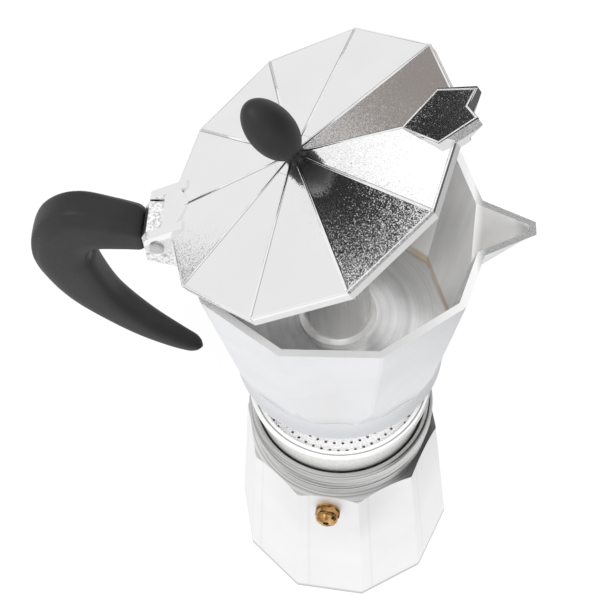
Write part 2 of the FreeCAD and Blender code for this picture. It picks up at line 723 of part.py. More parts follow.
for side in (-1, 1):
    flat = polygon(sketch(lid, "XZ_Plane", (0, 0, side * (ear_in + s.ear_width / 2))),
                   [(0, -s.ear_radius), (s.ear_radius * 0.8, -s.ear_radius * 0.6),
                    (s.ear_radius + 1.5, lid_under), (centre - s.lid_radius + 8, lid_under),
                    (centre - s.lid_radius + 8, tab_level), (-s.ear_radius * 0.3, tab_level),
                    (-s.ear_radius * 0.72, s.ear_radius * 0.7), (-s.ear_radius, 0),
                    (-s.ear_radius * 0.72, -s.ear_radius * 0.7)])
    feature(lid, "Pad", Profile=flat, SideType="Symmetric", Length=s.ear_width)
inner_lid = s.lid_radius - s.lid_sheet / APOTHEM
inner_crown = lid_crown - s.lid_sheet
frustum(lid, (inner_lid, lid_under), (inner_lid, lid_shoulder - s.lid_sheet / 2), "SubtractiveLoft", centre)
frustum(lid, (inner_lid, lid_shoulder - s.lid_sheet / 2), (s.lid_crown_radius, inner_crown),
        "SubtractiveLoft", centre)
cross_hole(lid, 0, 0, s.pin_radius + s.pin_fit, ear_out + 2)
flat = circle(sketch(lid, "XY_Plane", (0, 0, lid_crown)), centre, 0, s.knob_screw_radius)
feature(lid, "Pocket", Profile=flat, SideType="Symmetric", Length=s.lid_rise)

# knob: an egg on a short foot, with a threaded insert, held by a screw from below
EGG = ((0.0, 0.46), (0.1, 0.48), (0.2, 0.7), (0.35, 0.92), (0.52, 1.0), (0.68, 0.96), (0.82, 0.8), (0.92, 0.56),
       (0.975, 0.31))
knob = lid_body("knob", centre, lid_crown)
rounds = []
for part, wide in EGG:
    flat = sketch(knob, "XY_Plane", (0, 0, s.knob_height * part))
    rounds.append(circle(flat, 0, 0, s.knob_radius * wide))
feature(knob, "AdditiveLoft", Profile=rounds[0], Sections=rounds[1:], Ruled=False)
turned(knob, [(0, 0), (s.knob_insert_radius, 0), (s.knob_insert_radius, s.knob_insert_depth),
              (0, s.knob_insert_depth)], "Groove")

knob_insert = lid_body("knob_insert", centre, lid_crown)
turned(knob_insert, [(s.knob_screw_radius, 0), (s.knob_insert_radius, 0),
                     (s.knob_insert_radius, s.knob_insert_depth), (0, s.knob_insert_depth),
                     (0, s.knob_insert_depth - 1), (s.knob_screw_radius, s.knob_insert_depth - 1)])

knob_washer = lid_body("knob_washer", centre, inner_crown)
turned(knob_washer, [(s.knob_screw_radius, -s.knob_washer_depth), (s.knob_washer_radius, -s.knob_washer_depth),
                     (s.knob_washer_radius, 0), (s.knob_screw_radius, 0)])

knob_screw = lid_body("knob_screw", centre, inner_crown)
head_top = -s.knob_washer_depth
head_under = head_top - s.knob_screw_head_depth
turned(knob_screw, [(0, head_under), (s.knob_screw_head_radius - 0.8, head_under),
                    (s.knob_screw_head_radius, head_under + 0.8), (s.knob_screw_head_radius, head_top),
                    (s.knob_screw_radius, head_top),
                    (s.knob_screw_radius, s.lid_sheet + s.knob_screw_reach),
                    (0, s.lid_sheet + s.knob_screw_reach)])
slot_half = 0.4
slab(knob_screw, [(-slot_half, head_under), (slot_half, head_under), (slot_half, head_under + 0.8),
                  (-slot_half, head_under + 0.8)], s.knob_screw_head_radius + 1, "Pocket")

# handle: bevelled sections from the neck round the bend to the free tip
handle = body("handle")
flats = []
for number in range(len(HANDLE)):
    letter = chr(97 + number)
    reach, drop, lean, thick, width = (getattr(s, f"handle_{word}_{letter}") for word in SECTION_WORDS)
    flat = sketch(handle, "XY_Plane", (-reach, 0, pot_rim - drop), RISE, -lean)
    across = thick / 2
    half = width / 2
    bevel = s.handle_bevel * thick / s.handle_thick_e
    flats.append(polygon(flat, [(across, -half + bevel), (across, half - bevel), (across - bevel, half),
                                (-across + bevel, half), (-across, half - bevel),
                                (-across, -half + bevel), (-across + bevel, -half),
                                (across - bevel, -half)]))
feature(handle, "AdditiveLoft", Profile=flats[0], Sections=flats[1:], Ruled=False)
slot_low = tongue_low - s.slot_fit
slot_high = tongue_top + s.slot_fit
slot_end = s.tongue_reach + s.slot_fit
slab(handle, [(-s.handle_neck_front + 3, slot_low), (-s.handle_neck_front + 3, slot_high),
              (-slot_end, slot_high), (-slot_end, slot_low)], s.tongue_half_width + s.slot_fit, "Pocket")
neck_under = pot_rim - s.handle_drop_b - s.handle_thick_b / 2
screw_under = neck_under + s.handle_screw_sink
hole_flat = circle(sketch(handle, "XY_Plane", (0, 0, slot_low + 1)), -s.handle_screw_place, 0,
                   s.handle_screw_radius)
feature(handle, "Pocket", Profile=hole_flat, Length=16.0)
sink_flat = circle(sketch(handle, "XY_Plane", (0, 0, screw_under)), -s.handle_screw_place, 0,
                   s.handle_screw_head_radius)
feature(handle, "Pocket", Profile=sink_flat, Length=12.0)

handle_screw = body("handle_screw")
head_low = screw_under - s.handle_screw_head_depth
shank_top = tongue_low + s.tongue_depth - 2
flat = circle(sketch(handle_screw, "XY_Plane", (0, 0, head_low)), -s.handle_screw_place, 0,
              s.handle_screw_head_radius - 0.1)
feature(handle_screw, "Pad", Profile=flat, Length=s.handle_screw_head_depth)
flat = circle(sketch(handle_screw, "XY_Plane", (0, 0, screw_under)), -s.handle_screw_place, 0,
              s.handle_screw_radius - s.slot_fit / 2)
feature(handle_screw, "Pad", Profile=flat, Length=shank_top - screw_under)

doc.recompute()
pieces = [boiler, valve_body, valve_washer, valve_poppet, valve_spring, valve_cap, funnel_basket,
          basket_plate, funnel_stem, gasket, filter_plate, collector, column, hinge_pin, lid, knob,
          knob_insert, knob_washer, knob_screw, handle, handle_screw]
for item in doc.Objects:
    faults = {"Invalid", "Error"} & set(item.State)
    if faults:
        raise RuntimeError(f"{item.Name} is {faults}")
os.makedirs("parts", exist_ok=True)
for piece in pieces:
    if not piece.Shape.isValid() or len(piece.Shape.Solids) != 1:
        raise RuntimeError(f"{piece.Label}: {len(piece.Shape.Solids)} solids")
    piece.Shape.exportStep(f"parts/{piece.Label}.step")
    box = piece.Shape.BoundBox
    print(piece.Label, round(piece.Shape.Volume, 1), [round(v, 2) for v in (
        box.XMin, box.XMax, box.YMin, box.YMax, box.ZMin, box.ZMax)])
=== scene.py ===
# %% [markdown]
# # A moka pot, taken apart
# The pot hangs open in bright white light: the boiler stands below, the funnel is lifted
# out of its mouth, the upper pot floats above and the lid is ajar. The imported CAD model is
# the frame, with the right shapes and sizes. This lesson adds what a drawing leaves out: the
# pressed beads of the lid, the soft horn of the handle, and the finish of each metal. Lengths
# are metres, unless a name or a comment says millimetres.

# %% Load the frame
import json
import math

import bpy
import numpy as np
from mathutils import Matrix


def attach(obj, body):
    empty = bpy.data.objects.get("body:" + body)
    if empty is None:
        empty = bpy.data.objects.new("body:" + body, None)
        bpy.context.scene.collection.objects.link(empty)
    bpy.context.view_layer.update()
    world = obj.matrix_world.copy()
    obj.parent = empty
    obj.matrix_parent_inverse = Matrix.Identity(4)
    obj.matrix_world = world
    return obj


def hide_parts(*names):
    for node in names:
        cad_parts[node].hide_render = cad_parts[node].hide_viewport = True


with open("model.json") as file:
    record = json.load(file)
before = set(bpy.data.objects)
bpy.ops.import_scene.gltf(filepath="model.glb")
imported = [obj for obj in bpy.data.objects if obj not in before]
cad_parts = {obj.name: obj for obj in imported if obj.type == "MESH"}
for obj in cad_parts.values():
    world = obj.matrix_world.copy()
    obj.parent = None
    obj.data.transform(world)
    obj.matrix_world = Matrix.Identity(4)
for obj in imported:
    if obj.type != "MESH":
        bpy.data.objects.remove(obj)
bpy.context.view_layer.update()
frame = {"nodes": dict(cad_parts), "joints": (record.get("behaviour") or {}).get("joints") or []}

# %% [markdown]
# ## Camera
# The photograph looks down on the pot from the front. A camera could be set by eye, but the
# corners of the ten-sided boiler, rim and lid give it better: how high it stands, how far off,
# and a small roll to the side. A focal length in pixels becomes millimetres on a 36 mm sensor.

# %% Camera
IMAGE_PIXELS = 605
FOCAL_PIXELS = 1200.0
SENSOR = 36.0
AZIMUTH, ELEVATION, ROLL = np.radians([6.4, 58.45, -4.42])
DISTANCE, SIDEWAYS, UPWARDS = 0.5713, -0.01948, 0.09258
NEAREST, FARTHEST = 0.01, 20.0


def camera_axes(azimuth, elevation, roll):
    """Right, up and back of the camera: back points from the object to the camera, right is
    level, up is their cross product, and the first two are then turned by the roll."""
    back = np.array([np.sin(azimuth) * np.cos(elevation),
                     -np.cos(azimuth) * np.cos(elevation), np.sin(elevation)])
    right = np.array([np.cos(azimuth), np.sin(azimuth), 0.0])
    up = np.cross(back, right)
    return (np.cos(roll) * right + np.sin(roll) * up,
            np.cos(roll) * up - np.sin(roll) * right, back)


right, up, back = camera_axes(AZIMUTH, ELEVATION, ROLL)
lens = bpy.data.cameras.new("camera")
lens.sensor_width = SENSOR
lens.lens = FOCAL_PIXELS / IMAGE_PIXELS * SENSOR
lens.clip_start = NEAREST
lens.clip_end = FARTHEST
camera = bpy.data.objects.new("camera", lens)
bpy.context.scene.collection.objects.link(camera)
stand = np.eye(4)
stand[:3, :3] = np.stack([right, up, back], axis=1)
stand[:3, 3] = back * DISTANCE + right * SIDEWAYS + up * UPWARDS
camera.matrix_world = Matrix(stand.tolist())
bpy.context.scene.camera = camera
print("lens", round(lens.lens, 1), "mm")

# %% [markdown]
# ## Nodes and finishes
# A finish could be painted as a picture, but a small graph of nodes round one Principled shader
# stays sharp at any size and is changed by a number. These helpers add a node, set its values
# and link its sockets, so that a finish reads as a list of steps.

# %% Nodes and finishes


def put(tree, item, socket):
    """Link a socket to another one, or set it to a number, a place or a colour."""
    if isinstance(item, bpy.types.NodeSocket):
        tree.links.new(item, socket)
    elif socket.type == "RGBA":
        socket.default_value = (*item, 1.0)
    else:
        socket.default_value = item


def add(tree, kind, links=None, **values):
    """One node; a word that names a property sets it, any other word sets an input socket."""
    node = tree.nodes.new(kind)
    for word, value in values.items():
        if hasattr(node, word):
            setattr(node, word, value)
        else:
            node.inputs[word.replace("_", " ")].default_value = value
    for socket, source in (links or {}).items():
        put(tree, source, node.inputs[socket])
    return node


def new_finish(name, **values):
    """A material with one Principled shader; returns the material, its tree and the shader."""
    finish = bpy.data.materials.new(name)
    finish.use_nodes = True
    tree = finish.node_tree
    shader = tree.nodes["Principled BSDF"]
    for word, value in values.items():
        shader.inputs[word.replace("_", " ")].default_value = value
    return finish, tree, shader


def wire(tree, shader, **sources):
    """Link each source to the shader's socket of that name."""
    for word, source in sources.items():
        tree.links.new(source, shader.inputs[word.replace("_", " ")])


def dress(finish, *names):
    """Give a finish to CAD nodes by name."""
    for name in names:
        mesh = frame["nodes"][name].data
        mesh.materials.clear()
        mesh.materials.append(finish)
    print(finish.name, len(finish.node_tree.nodes), "nodes, on", *names)


print(len(frame["nodes"]), "solids to dress")

# %% [markdown]
# ## Patterns
# Casting, turning and drawing each leave marks that belong to the piece, so the patterns read
# Object coordinates, which stay with it when it moves. A noise gives grain and clouds, and a
# straight ramp turns a noise, a height or a distance into a share between nothing and one.

# %% Patterns
GRAIN = 2600.0


def coordinate(tree, kind):
    """Object gives the place on the piece, Normal the way its surface faces."""
    return tree.nodes.new("ShaderNodeTexCoord").outputs[kind]


def vector_node(tree, operation, first, second=(0.0, 0.0, 0.0)):
    """One operation on one or two vectors; each is a socket or three numbers."""
    node = add(tree, "ShaderNodeVectorMath", {0: first, 1: second}, operation=operation)
    return node.outputs["Value" if operation == "DISTANCE" else "Vector"]


def stretched_place(tree, scale):
    """Object coordinates times a scale for each axis: a small one draws a pattern out along it."""
    return vector_node(tree, "MULTIPLY", coordinate(tree, "Object"), scale)


def parts_of(tree, vector):
    """The three parts of a vector, each as a socket."""
    split = add(tree, "ShaderNodeSeparateXYZ", {0: vector})
    return split.outputs[0], split.outputs[1], split.outputs[2]


def noise(tree, where, scale, detail=3.0, rough=0.55):
    """A cloud of values about one half; scale is in lumps per metre."""
    return add(tree, "ShaderNodeTexNoise", {"Vector": where}, Scale=scale, Detail=detail,
               Roughness=rough).outputs["Fac"]


def ramp(tree, source, low, high, out_low=0.0, out_high=1.0):
    """A straight map from low..high to out_low..out_high, clamped."""
    return add(tree, "ShaderNodeMapRange", {0: source, 1: low, 2: high, 3: out_low, 4: out_high}).outputs[0]


print("finest grain", round(1000.0 / GRAIN, 2), "mm")

# %% [markdown]
# ## Plain metals: steel, brass and frosted sheet
# The screws and the spring are steel, the valve is bright turned brass, and the two punched
# plates are sheet with a frosted face. One colour each would look like paint. A broad noise makes
# the colour cloudy and a fine one varies the gloss and roughens the face, so one function with
# other numbers serves all of them.

# %% Plain metals
MIX_SOCKETS = {"RGBA": (6, 7, 2), "FLOAT": (2, 3, 0)}


def mix(tree, kind, amount, low, high):
    """low + amount * (high - low). The Mix node has a pair of inputs and an output for each kind."""
    first, second, result = MIX_SOCKETS[kind]
    node = add(tree, "ShaderNodeMix", data_type=kind)
    for number, item in ((0, amount), (first, low), (second, high)):
        put(tree, item, node.inputs[number])
    return node.outputs[result]


def tint(tree, amount, dark, light):
    """A colour between two by amount; each is a socket or three numbers."""
    return mix(tree, "RGBA", amount, dark, light)


def grey(level):
    """A colour with red, green and blue alike."""
    return (level, level, level)


def bump(tree, height, strength, distance):
    """A normal tilted as if the height pattern stood up from the surface by the distance."""
    return add(tree, "ShaderNodeBump", {"Height": height}, Strength=strength,
               Distance=distance).outputs["Normal"]


def satin_metal(name, dark, light, rough, grain=GRAIN, metallic=1.0, cloud_scale=60.0):
    """Cloudy colour from a broad noise, roughness and bump from a fine one."""
    finish, tree, shader = new_finish(name, Metallic=metallic)
    where = coordinate(tree, "Object")
    cloud = noise(tree, where, cloud_scale)
    fine = noise(tree, where, grain, 2.0)
    wire(tree, shader, Base_Color=tint(tree, ramp(tree, cloud, 0.3, 0.7), dark, light),
         Roughness=ramp(tree, fine, 0.3, 0.7, *rough), Normal=bump(tree, fine, 0.25, 0.00002))
    return finish


steel_finish = satin_metal("screw_steel", (0.5, 0.5, 0.51), (0.62, 0.62, 0.63), rough=(0.25, 0.4))
brass_finish = satin_metal("valve_brass", (0.17, 0.075, 0.022), (0.78, 0.48, 0.19), rough=(0.1, 0.2),
                           cloud_scale=380.0)
plate_finish = satin_metal("frosted_sheet", grey(0.95), grey(0.98), rough=(0.5, 0.62), grain=1800.0,
                           metallic=0.0)
dress(steel_finish, "valve_poppet", "valve_spring", "hinge_pin", "knob_washer", "knob_screw", "handle_screw")
dress(brass_finish, "valve_body", "valve_washer", "valve_cap", "knob_insert")
dress(plate_finish, "basket_plate", "filter_plate")

# %% [markdown]
# ## Rubber and plastic
# The seal is pale rubber, and handle and knob are a matt black moulding whose mould was
# spark-eroded to a fine grain. The grain could be modelled, but it is far finer than a pixel, so
# a bump from a fine noise is enough.

# %% Rubber and plastic


def matt_moulding(name, dark, light, rough, grain):
    """A dull surface: cloudy colour, and a fine noise for its bump and a little play in roughness."""
    finish, tree, shader = new_finish(name, Specular_IOR_Level=0.4)
    where = coordinate(tree, "Object")
    fine = noise(tree, where, grain, 2.0)
    cloud = noise(tree, where, 90.0)
    wire(tree, shader, Base_Color=tint(tree, ramp(tree, cloud, 0.3, 0.7), dark, light),
         Roughness=ramp(tree, fine, 0.3, 0.7, rough - 0.06, rough + 0.06),
         Normal=bump(tree, fine, 0.3, 0.00003))
    return finish


black_finish = matt_moulding("black_moulding", grey(0.007), (0.012, 0.0115, 0.0115), rough=0.5, grain=2200.0)
rubber_finish = matt_moulding("seal_rubber", (0.62, 0.6, 0.55), (0.72, 0.7, 0.66), rough=0.6, grain=1500.0)
dress(rubber_finish, "gasket")
dress(black_finish, "handle", "knob")

# %% [markdown]
# ## Masks
# A casting that is turned in one place and blasted in another needs two finishes on one solid.
# It could be cut in two; a mask keeps it whole. A mask is a share between nothing and one, from
# a height, a distance or the way a surface faces, and masks are multiplied where both must hold.
# The valve's centre is measured here too, for a mask by the distance from it.

# %% Masks


def above(tree, source, level, soft):
    """Nothing up to a level, rising to one over the length soft."""
    return ramp(tree, source, level, level + soft)


def below(tree, source, level, soft):
    """Nothing down to a level, rising to one over the length soft under it."""
    return ramp(tree, source, level, level - soft)


def math_node(tree, operation, first, *others):
    """One operation carried through several values; each is a number or a socket."""
    for other in others or (0.0,):
        first = add(tree, "ShaderNodeMath", {0: first, 1: other}, operation=operation).outputs[0]
    return first


def times(tree, *masks):
    """The product: one only where every mask is one."""
    return math_node(tree, "MULTIPLY", *masks)


def most(tree, *masks):
    """The greatest: one where any mask is one."""
    return math_node(tree, "MAXIMUM", *masks)


def blend(tree, amount, low, high):
    """A number between two by amount; each is a number or a socket."""
    return mix(tree, "FLOAT", amount, low, high)


def reach_of(tree, across, along):
    """Distance from the axis: the root of across squared plus along squared."""
    squares = math_node(tree, "ADD", times(tree, across, across), times(tree, along, along))
    return math_node(tree, "SQRT", squares)


def outward_of(tree, across, along, normal_x, normal_y):
    """Place times normal, summed over the two level directions: negative where a face looks inwards."""
    return math_node(tree, "ADD", times(tree, across, normal_x), times(tree, along, normal_y))


def tenth_offset(tree, across, along):
    """How far round from the nearest of ten corners, 0 there and half a tenth at most either way:
    the bearing in tenths of a turn less its nearest whole number."""
    tenths = times(tree, math_node(tree, "ARCTAN2", along, across), 5.0 / math.pi)
    return math_node(tree, "SUBTRACT", tenths, math_node(tree, "ROUND", tenths))


valve_box = np.array([tuple(corner) for corner in frame["nodes"]["valve_body"].bound_box])
valve_centre = valve_box.mean(axis=0)
print("valve centre", valve_centre.round(4))

# %% [markdown]
# ## Turned and satin aluminium: the boiler
# The boiler is cast, its ten facets blasted to a pale satin and its shoulder and collar turned
# on a lathe. The shoulder's normal points higher than a facet's, so the height of the normal
# tells the two apart. Lathe marks are rings: a noise that hardly varies except with height, deeper
# on the collar. Faint dark lines are painted along the corners, painted contact shadow darkens
# the bottom edge, and the metal round the valve is duller.

# %% Boiler
SHOULDER_FOOT, COLLAR_FOOT = 0.07, 0.0902
VALVE_REACH = 0.034
boiler_finish, tree, shader = new_finish("boiler_metal", Metallic=1.0)
where = coordinate(tree, "Object")
across, along, height = parts_of(tree, where)
lean = parts_of(tree, coordinate(tree, "Normal"))[2]
turned = times(tree, above(tree, height, SHOULDER_FOOT, 0.0002),
               most(tree, above(tree, lean, 0.3, 0.1), above(tree, height, COLLAR_FOOT, 0.0004)))
corner = below(tree, math_node(tree, "ABSOLUTE", tenth_offset(tree, across, along)), 0.03, 0.024)
# Painted shade: faint dark lines along the ten corners and a contact shadow along the bottom edge.
corner_lines_and_contact_shadow = most(tree, times(tree, corner, 0.12), below(tree, height, 0.0036, 0.0024))
blasted = below(tree, vector_node(tree, "DISTANCE", where, valve_centre), VALVE_REACH, 0.016)

cloud = ramp(tree, noise(tree, where, 45.0), 0.3, 0.7)
fine = noise(tree, where, GRAIN, 2.0)
marks = noise(tree, stretched_place(tree, (2.0, 2.0, 900.0)), 1.6, 4.0, 0.7)
satin = tint(tree, corner_lines_and_contact_shadow, tint(tree, cloud, (0.905, 0.905, 0.91), grey(0.935)), (0.52, 0.52, 0.53))
groove = tint(tree, above(tree, height, 0.086, 0.0045), grey(0.68), grey(0.4))
lathe = tint(tree, ramp(tree, marks, 0.4, 0.62), groove, (0.88, 0.88, 0.87))
roughness = blend(tree, turned, ramp(tree, fine, 0.3, 0.7, 0.36, 0.5),
                  ramp(tree, fine, 0.3, 0.7, 0.26, 0.36))
wire(tree, shader, Base_Color=tint(tree, turned, satin, lathe),
     Roughness=blend(tree, blasted, roughness, 0.62),
     Normal=bump(tree, blend(tree, turned, fine, marks), 0.3, 0.00004))
dress(boiler_finish, "boiler")

# %% [markdown]
# ## The upper pot
# Outside, the pot is satin like the boiler, painted shade darkens it towards its foot band, and
# the ledge faces that look up are painted lighter. Inside it is polished by a long drawing stroke
# up and down, which leaves streaks, and its floor is turned in rings. A surface faces inwards
# where its normal points at the axis. The hinge lug and the spout's edge are rough as cast, and
# coffee has left a tan stain at the foot of the wall by the spout. All of it is one casting, so
# one finish holds every mask: first the masks, then the colours.

# %% Upper pot: where each finish lies
SPOUT_ROOT, SPOUT_TIP = 0.044, 0.0565
LUG_FACE = -0.0515
FLOOR_TOP, BAND_TOP, RIM_FOOT = 0.172, 0.166, 0.2226
pot_finish, tree, shader = new_finish("pot_metal")
where = coordinate(tree, "Object")
across, along, height = parts_of(tree, where)
normal_x, normal_y, normal_z = parts_of(tree, coordinate(tree, "Normal"))
level_face = above(tree, normal_z, 0.85, 0.1)
floor_inside = times(tree, below(tree, height, FLOOR_TOP, 0.001), level_face)
wall_inside = times(tree, below(tree, outward_of(tree, across, along, normal_x, normal_y), 0.002, 0.004),
                    below(tree, normal_z, 0.95, 0.1), above(tree, height, 0.164, 0.004))
inside = most(tree, wall_inside, floor_inside)
cast = times(tree, below(tree, across, LUG_FACE, 0.002), above(tree, height, 0.19, 0.01))
rim_top = times(tree, above(tree, height, RIM_FOOT, 0.0004), level_face)
lightened_ledge = times(tree, above(tree, normal_z, 0.15, 0.25), below(tree, height, BAND_TOP + 0.002, 0.002))
stain = times(tree, below(tree, height, FLOOR_TOP + 0.0015, 0.0014), above(tree, across, 0.022, 0.006))
beak = above(tree, across, SPOUT_ROOT, 0.003)
print("masks", len(tree.nodes), "nodes")

# %% Upper pot: colour and gloss
cloud = ramp(tree, noise(tree, where, 45.0), 0.3, 0.7)
fine = noise(tree, where, GRAIN, 2.0)
streak = noise(tree, stretched_place(tree, (190.0, 190.0, 9.0)), 1.0, 3.0, 0.5)
lumps = noise(tree, where, 900.0, 4.0, 0.65)
rings = noise(tree, add(tree, "ShaderNodeCombineXYZ", {0: reach_of(tree, across, along)}).outputs[0], 420.0)
polish = blend(tree, floor_inside, ramp(tree, streak, 0.34, 0.64), ramp(tree, rings, 0.3, 0.6))

satin = tint(tree, cloud, (0.815, 0.82, 0.835), (0.87, 0.875, 0.89))
# Painted shade: the outside darkens towards the foot band.
satin = tint(tree, below(tree, height, BAND_TOP, 0.015), satin, (0.68, 0.685, 0.71))
# Painted light: the ledge faces that look up are lightened.
satin = tint(tree, lightened_ledge, satin, grey(0.93))
drawn = tint(tree, polish, (0.9, 0.895, 0.89), (0.985, 0.98, 0.975))
drawn = tint(tree, floor_inside, drawn, tint(tree, polish, grey(0.66), grey(0.86)))
drawn = tint(tree, above(tree, across, SPOUT_TIP, 0.004), drawn, grey(0.5))
drawn = tint(tree, math_node(tree, "SUBTRACT", stain, floor_inside), drawn, (0.72, 0.6, 0.44))
edge = tint(tree, beak, grey(0.89), tint(tree, ramp(tree, fine, 0.35, 0.65), grey(0.26), grey(0.56)))
raw = tint(tree, ramp(tree, lumps, 0.35, 0.6), grey(0.42), grey(0.96))
colour = tint(tree, cast, tint(tree, rim_top, tint(tree, inside, satin, drawn), edge), raw)

frost = times(tree, inside, ramp(tree, across, -0.01, 0.03, 0.12, 1.0), blend(tree, beak, 1.0, 0.4),
              blend(tree, floor_inside, 1.0, 0.1))
bare = most(tree, frost, times(tree, lightened_ledge, 0.4), times(tree, rim_top, blend(tree, beak, 0.4, 0.15)))
roughness = blend(tree, inside, ramp(tree, fine, 0.3, 0.7, 0.32, 0.44),
                  ramp(tree, streak, 0.3, 0.7, 0.17, 0.25))
relief = blend(tree, cast, blend(tree, inside, fine, streak), lumps)
wire(tree, shader, Base_Color=colour, Roughness=blend(tree, cast, roughness, 0.42),
     Metallic=blend(tree, bare, 1.0, 0.25), Normal=bump(tree, relief, 0.35, 0.00006))
dress(pot_finish, "collector")

# %% [markdown]
# ## The column
# Coffee rises through a thin polished column. It was drawn lengthwise like the pot's wall, so a
# noise stretched along its height gives both its streaks and their gloss.

# %% Column
column_finish, tree, shader = new_finish("column_metal", Metallic=0.7)
streak = noise(tree, stretched_place(tree, (260.0, 260.0, 10.0)), 1.0, 3.0)
bright = tint(tree, ramp(tree, streak, 0.35, 0.65), (0.88, 0.875, 0.87), (0.985, 0.98, 0.975))
wire(tree, shader, Base_Color=bright, Roughness=ramp(tree, streak, 0.3, 0.7, 0.18, 0.28))
dress(column_finish, "column")

# %% [markdown]
# ## The lid's own frame
# The lid is pressed from sheet, a shallow cone of ten facets. It hangs open in the picture, but
# its creases and skirt are simplest to describe when it is shut: a crease is then a bearing from
# the lid's centre and the skirt is a height. The hinge joint of the frame gives the pin and the
# angle, and the finish turns each place shut about the pin before it measures.

# %% Lid frame
lid_hinge = [joint for joint in frame["joints"] if joint["name"] == "lid_hinge"][0]
PIN = np.array(lid_hinge["pos_m"])
LID_OPEN = math.radians(-lid_hinge["range_deg"][0])
LID_CENTRE = -PIN[0]
SHOULDER, CROWN = 0.0033, 0.0093
LID_RADIUS, CROWN_RADIUS = 0.0512, 0.007
LID_SLOPE = (CROWN - SHOULDER) / (LID_RADIUS - CROWN_RADIUS)


def lid_place(tree):
    """Place in the lid's own frame: turned shut about the pin, then taken from the lid's centre."""
    shut = add(tree, "ShaderNodeVectorRotate", {0: coordinate(tree, "Object")}, rotation_type="Y_AXIS",
               Angle=LID_OPEN, Center=PIN)
    return vector_node(tree, "SUBTRACT", shut.outputs[0], PIN + [LID_CENTRE, 0.0, 0.0])


print("pin", PIN.round(4), "open", round(math.degrees(LID_OPEN), 1), "degrees")

# %% [markdown]
# ## The lid's finish
# The lid is polished, with specks a quarter of a millimetre wide that sparkle where a facet mirrors
# something dark. A bump from a noise looks like leather, so each cell of a Voronoi pattern tilts
# the normal its own way instead. Beside each crease a fine dark line is painted shade, and the
# skirt under the rim is duller and painted darker as shade.

# %% Lid finish
SPECKS_PER_METRE, SPECK_TILT = 4200.0, 0.05
lid_finish, tree, shader = new_finish("lid_polish")
where = coordinate(tree, "Object")
across, along, height = parts_of(tree, lid_place(tree))
reach = reach_of(tree, across, along)
gap = times(tree, tenth_offset(tree, across, along), reach, math.pi / 5.0)
cone_level = math_node(tree, "ADD", height, times(tree, reach, LID_SLOPE))
painted_crease_shade = times(tree, above(tree, gap, 0.0004, 0.00005), below(tree, gap, 0.00075, 0.00015),
             below(tree, cone_level, 0.0106, 0.0002))
shaded_skirt = times(tree, above(tree, reach, 0.0481, 0.0003), below(tree, height, SHOULDER - 0.0008, 0.0004))

cells = add(tree, "ShaderNodeTexVoronoi", {"Vector": where}, Scale=SPECKS_PER_METRE).outputs["Color"]
specks = vector_node(tree, "SUBTRACT", cells, (0.5, 0.5, 0.5))
specks = vector_node(tree, "MULTIPLY", specks, (SPECK_TILT, SPECK_TILT, SPECK_TILT))
facing = tree.nodes.new("ShaderNodeNewGeometry").outputs["Normal"]
tilted = vector_node(tree, "NORMALIZE", vector_node(tree, "ADD", facing, specks))
cloud = ramp(tree, noise(tree, where, 50.0), 0.3, 0.7)
sheet = tint(tree, cloud, (0.885, 0.885, 0.89), grey(0.915))
# Painted shade: a fine dark line beside each crease.
sheet = tint(tree, times(tree, painted_crease_shade, 0.6), sheet, grey(0.1))
# Painted shade: the skirt is painted darker; its rougher, less metallic face is a real duller finish.
wire(tree, shader, Base_Color=tint(tree, shaded_skirt, sheet, grey(0.62)),
     Roughness=blend(tree, shaded_skirt, blend(tree, cloud, 0.06, 0.09), 0.45),
     Metallic=blend(tree, shaded_skirt, 1.0, 0.5), Normal=tilted)
dress(lid_finish, "lid")

# %% [markdown]
# ## The funnel
# The funnel is spun from sheet, so its marks are rings about the axis: a noise of the distance
# from the axis and the height. An image wrapped round it would need a seam; this has none. Its
# flange and its inside are frosted, and a fine grey ring of painted shade lines the flange's
# inner edge.

# %% Funnel
SHADE_LINE_INSIDE, SHADE_LINE_OUTSIDE = 0.0334, 0.0342
spun_finish, tree, shader = new_finish("spun_sheet")
where = coordinate(tree, "Object")
across, along, height = parts_of(tree, where)
normal_x, normal_y, normal_z = parts_of(tree, coordinate(tree, "Normal"))
reach = reach_of(tree, across, along)
marks = noise(tree, add(tree, "ShaderNodeCombineXYZ", {0: reach, 1: height}).outputs[0], 1400.0, 3.0, 0.6)
specks = noise(tree, where, 1300.0, 2.0)
outward = outward_of(tree, across, along, normal_x, normal_y)
frosted = most(tree, above(tree, normal_z, 0.6, 0.2), below(tree, outward, -0.004, 0.006))
# Painted shade: a fine grey ring at the flange's inner edge.
shade_line = times(tree, above(tree, reach, SHADE_LINE_INSIDE, 0.0002), below(tree, reach, SHADE_LINE_OUTSIDE, 0.0002))
wall = tint(tree, ramp(tree, specks, 0.35, 0.65), (0.78, 0.78, 0.77), (0.9, 0.9, 0.89))
wall = tint(tree, frosted, wall, tint(tree, shade_line, grey(0.84), grey(0.3)))
wire(tree, shader, Base_Color=wall, Metallic=blend(tree, frosted, 1.0, 0.15),
     Roughness=ramp(tree, marks, 0.3, 0.7, 0.28, 0.42), Normal=bump(tree, marks, 0.3, 0.00003))
dress(spun_finish, "funnel_basket", "funnel_stem")

# %% [markdown]
# ## Surfaces from arrays
# The pieces that follow are soft or very thin, which a solid model does badly and a mesh does
# well. Each is a grid of points: rows along its length, columns round it. One helper joins the
# columns into a closed band of quads and closes its two ends, and another makes the mesh, shades
# it and hands it to a CAD body.

# %% Surfaces from arrays


def grid_faces(rows, columns, first):
    """Quads between neighbouring rows; the last column joins the first."""
    row, column = np.meshgrid(np.arange(rows - 1), np.arange(columns), indexing="ij")
    beside = (column + 1) % columns
    corners = [row * columns + column, row * columns + beside,
               (row + 1) * columns + beside, (row + 1) * columns + column]
    return np.stack(corners, axis=-1).reshape(-1, 4) + first


def end_fan(ring, centre):
    """Triangles from each step along a ring of point numbers to one centre."""
    return np.stack([ring, np.roll(ring, -1), np.full(len(ring), centre)], axis=-1)


